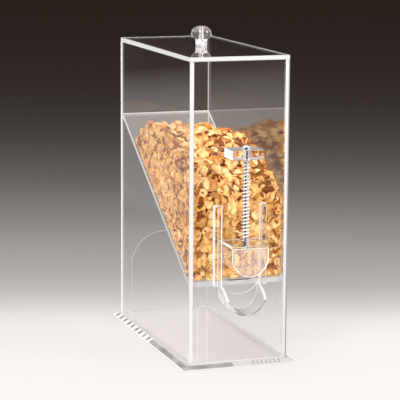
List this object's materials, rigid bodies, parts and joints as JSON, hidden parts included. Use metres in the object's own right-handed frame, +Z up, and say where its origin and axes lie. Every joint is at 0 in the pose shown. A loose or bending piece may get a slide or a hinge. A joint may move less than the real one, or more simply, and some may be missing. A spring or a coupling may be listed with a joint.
{
  "type": "gravity food bin",
  "caption": "Clear upright food bin with a sloped hopper floor, a lift-off lid and a spring-returned gate lifted by a U-shaped handle over a short chute.",
  "frame": {"origin": "centre of the base plate's underside, on the surface that the bin stands on", "axes": "+Z up, -Y towards the user, where the gate and chute are, +X to the user's right"},
  "size_m": [0.161, 0.3745, 0.4457],
  "materials": {
    "clear_sheet": "polished",
    "clear_knob": "polished",
    "polished_metal": "polished",
    "spring_steel": "satin",
    "flakes": "matte"
  },
  "bodies": {
    "tower": {"base_plate": "clear_sheet", "left_wall": "clear_sheet", "right_wall": "clear_sheet", "front_wall": "clear_sheet", "back_wall": "clear_sheet", "hopper_floor": "clear_sheet", "left_rail_spacer": "clear_sheet", "right_rail_spacer": "clear_sheet", "left_rail_cover": "clear_sheet", "right_rail_cover": "clear_sheet", "chute": "clear_sheet", "spring_block": "clear_sheet", "rod_bush": "polished_metal", "return_spring": "spring_steel", "cereal_fill": "flakes"},
    "gate": {"gate_plate": "clear_sheet", "handle_trough": "clear_sheet", "handle_face": "clear_sheet", "handle_shelf": "clear_sheet", "guide_rod": "polished_metal", "rod_cap": "polished_metal", "rod_upper_nut": "polished_metal", "rod_lower_nut": "polished_metal", "spring_washer": "polished_metal"},
    "lid": {"lid_plate": "clear_sheet", "lid_knob": "clear_knob", "lid_knob_screw": "polished_metal"}
  },
  "joints": [
    {"name": "gate_lift", "type": "slide", "parent": "tower", "child": "gate", "axis": [0, 0, 1], "range_m": [0, 0.055], "stiffness_N_per_m": 120, "springref_m": -0.02, "deforming": ["return_spring"]},
    {"name": "lid_lift", "type": "slide", "parent": "tower", "child": "lid", "axis": [0, 0, 1], "range_m": [0, 0.12]}
  ]
}
